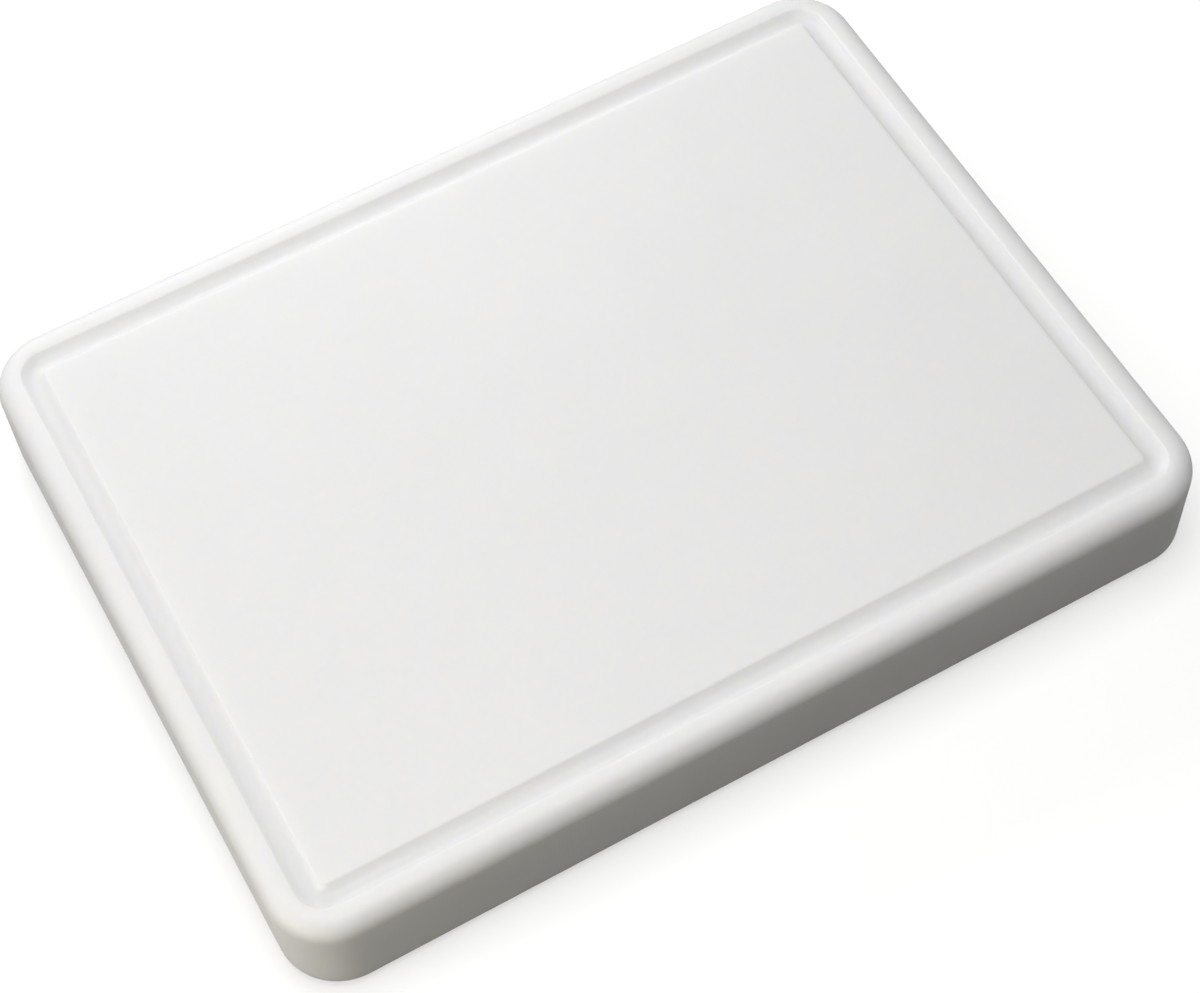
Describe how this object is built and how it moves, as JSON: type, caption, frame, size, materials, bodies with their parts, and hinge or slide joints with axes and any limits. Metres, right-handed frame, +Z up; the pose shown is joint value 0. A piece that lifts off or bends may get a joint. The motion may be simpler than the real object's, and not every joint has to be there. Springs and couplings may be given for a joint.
{
  "type": "cutting board",
  "caption": "Thick rectangular polyethylene cutting board with rounded corners, a rounded top edge, a juice groove round the cutting surface and low anti-slip feet.",
  "frame": {"origin": "on the supporting surface, under the centre of the board", "axes": "+X along the board's long side, +Y from the front side to the back side, +Z up through the cutting surface"},
  "size_m": [0.4, 0.3, 0.05],
  "materials": {
    "white_polyethylene": "semi-matt white polyethylene with a fine planed texture",
    "foot_rubber": "matt dark grey moulded rubber",
    "stainless_steel": "plain stainless steel"
  },
  "bodies": {
    "root": {"board_slab": "white_polyethylene", "foot_front_left": "foot_rubber", "foot_front_right": "foot_rubber", "foot_back_left": "foot_rubber", "foot_back_right": "foot_rubber", "foot_washer_front_left": "stainless_steel", "foot_washer_front_right": "stainless_steel", "foot_washer_back_left": "stainless_steel", "foot_washer_back_right": "stainless_steel", "foot_screw_front_left": "stainless_steel", "foot_screw_front_right": "stainless_steel", "foot_screw_back_left": "stainless_steel", "foot_screw_back_right": "stainless_steel"}
  },
  "joints": []
}
